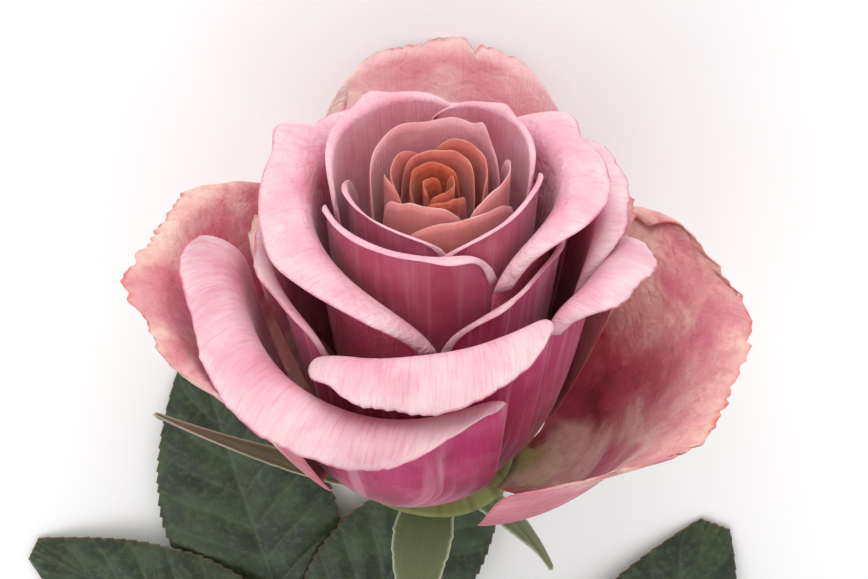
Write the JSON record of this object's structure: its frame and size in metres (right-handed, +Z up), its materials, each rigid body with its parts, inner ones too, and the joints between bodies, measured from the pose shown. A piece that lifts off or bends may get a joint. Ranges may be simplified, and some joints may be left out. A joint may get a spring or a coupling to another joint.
{
  "type": "cut rose",
  "caption": "Open pink garden rose with rolled petal lips, wavy guard petals, sepals, a prickly stem and compound leaves, lying on its side as cut.",
  "frame": {"origin": "on the surface that the rose lies on, under the middle of its box", "axes": "+Z up from the surface, +Y along the stem from the bloom to the cut end, so the head points to -Y and its right-hand petals are at -X"},
  "size_m": [0.1614, 0.3192, 0.0963],
  "materials": {
    "heart_petals": "soft satin petal, orange coral",
    "cup_petals": "soft satin petal, warm pink",
    "middle_petals": "soft satin petal, pale pink with near-white rolled lips",
    "outer_petals": "soft satin petal, pale pink inside and deep magenta outside with pale veins",
    "guard_petals": "soft satin petal, dusty pink and cream with coral crinkled rims",
    "sepals": "matt green leaf tissue with a pale downy edge",
    "hip": "smooth satin green skin",
    "stem": "satin reddish-brown bark over green",
    "leaf_stalks": "satin green stalk",
    "leaflets": "dark green leaf, satin above and paler matt below"
  },
  "bodies": {
    "root": {"cup_petal_1": "cup_petals", "cup_petal_2": "cup_petals", "cup_petal_3": "cup_petals", "cup_petal_4": "cup_petals", "guard_petal_1": "guard_petals", "guard_petal_2": "guard_petals", "guard_petal_3": "guard_petals", "guard_petal_4": "guard_petals", "guard_petal_5": "guard_petals", "heart_petal_1": "heart_petals", "heart_petal_2": "heart_petals", "heart_petal_3": "heart_petals", "heart_petal_4": "heart_petals", "heart_petal_5": "heart_petals", "heart_petal_6": "heart_petals", "heart_petal_7": "heart_petals", "heart_petal_8": "heart_petals", "hip": "hip", "leaf_1_leaflet_1": "leaflets", "leaf_1_leaflet_2": "leaflets", "leaf_1_leaflet_3": "leaflets", "leaf_1_stalk": "leaf_stalks", "leaf_2_leaflet_1": "leaflets", "leaf_2_leaflet_2": "leaflets", "leaf_2_leaflet_3": "leaflets", "leaf_2_stalk": "leaf_stalks", "leaf_3_leaflet_1": "leaflets", "leaf_3_leaflet_2": "leaflets", "leaf_3_leaflet_3": "leaflets", "leaf_3_leaflet_4": "leaflets", "leaf_3_leaflet_5": "leaflets", "leaf_3_stalk": "leaf_stalks", "middle_petal_1": "middle_petals", "middle_petal_2": "middle_petals", "middle_petal_3": "middle_petals", "middle_petal_4": "middle_petals", "middle_petal_5": "middle_petals", "middle_petal_6": "middle_petals", "middle_petal_7": "middle_petals", "middle_petal_8": "middle_petals", "outer_petal_1": "outer_petals", "outer_petal_2": "outer_petals", "outer_petal_3": "outer_petals", "outer_petal_4": "outer_petals", "outer_petal_5": "outer_petals", "outer_petal_6": "outer_petals", "outer_petal_7": "outer_petals", "outer_petal_8": "outer_petals", "outer_petal_9": "outer_petals", "sepal_1": "sepals", "sepal_2": "sepals", "sepal_3": "sepals", "sepal_4": "sepals", "sepal_5": "sepals", "stem": "stem"}
  },
  "joints": []
}
